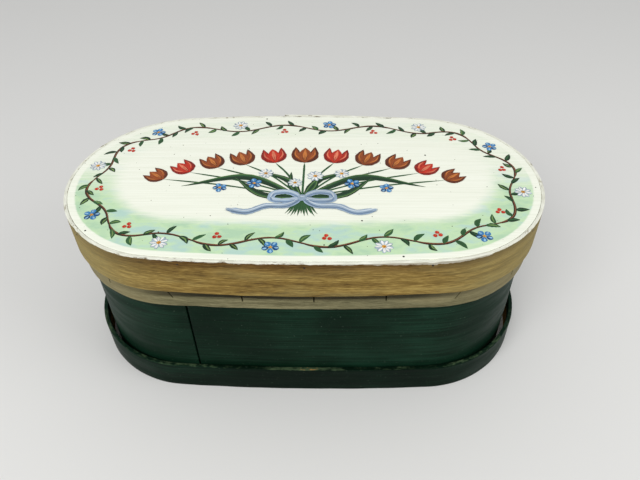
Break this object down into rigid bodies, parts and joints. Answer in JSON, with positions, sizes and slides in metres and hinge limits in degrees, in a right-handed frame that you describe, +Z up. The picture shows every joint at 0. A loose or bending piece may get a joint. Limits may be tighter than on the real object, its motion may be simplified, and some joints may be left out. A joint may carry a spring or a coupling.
{
  "type": "oval bentwood box with lift-off lid",
  "caption": "Oval bentwood storage box: a lapped green-painted wall with a base band round a flat bottom, and a deep lift-off lid whose cream panel sits in a bent hoop.",
  "frame": {"origin": "middle of the box's underside, at the centre of its oval plan", "axes": "+Z up, +X along the oval's long axis to the right, +Y to the back; the wall's seam is on the front, the hoop's and band's laps are at the back"},
  "size_m": [0.3326, 0.1725, 0.135],
  "materials": {
    "cream_paint": "wood painted cream, thin matt-satin paint with brush lines, specks and fine grain showing through",
    "golden_wood": "bare bent hardwood, golden brown with fine grain along the strip, dry and worn",
    "pale_wood": "bare bent wood, pale grey-olive, weathered",
    "green_paint": "wood painted dark green, satin, rubbed pale along the edges",
    "bare_wood": "bare softwood board, planed and aged",
    "dull_steel": "small steel fixings, dull and lightly rusted"
  },
  "bodies": {
    "box": {"body_wall": "green_paint", "seam_pins": "dull_steel", "base_band": "green_paint", "band_lap_tacks": "dull_steel", "bottom_panel": "bare_wood", "bottom_nails": "dull_steel"},
    "lid": {"lid_panel": "cream_paint", "lid_outer_hoop": "golden_wood", "lid_inner_hoop": "pale_wood", "panel_brads": "dull_steel", "hoop_lap_tacks": "dull_steel"}
  },
  "joints": [
    {"name": "lid_lift", "type": "slide", "parent": "box", "child": "lid", "axis": [0, 0, 1], "range_m": [0, 0.07]}
  ]
}
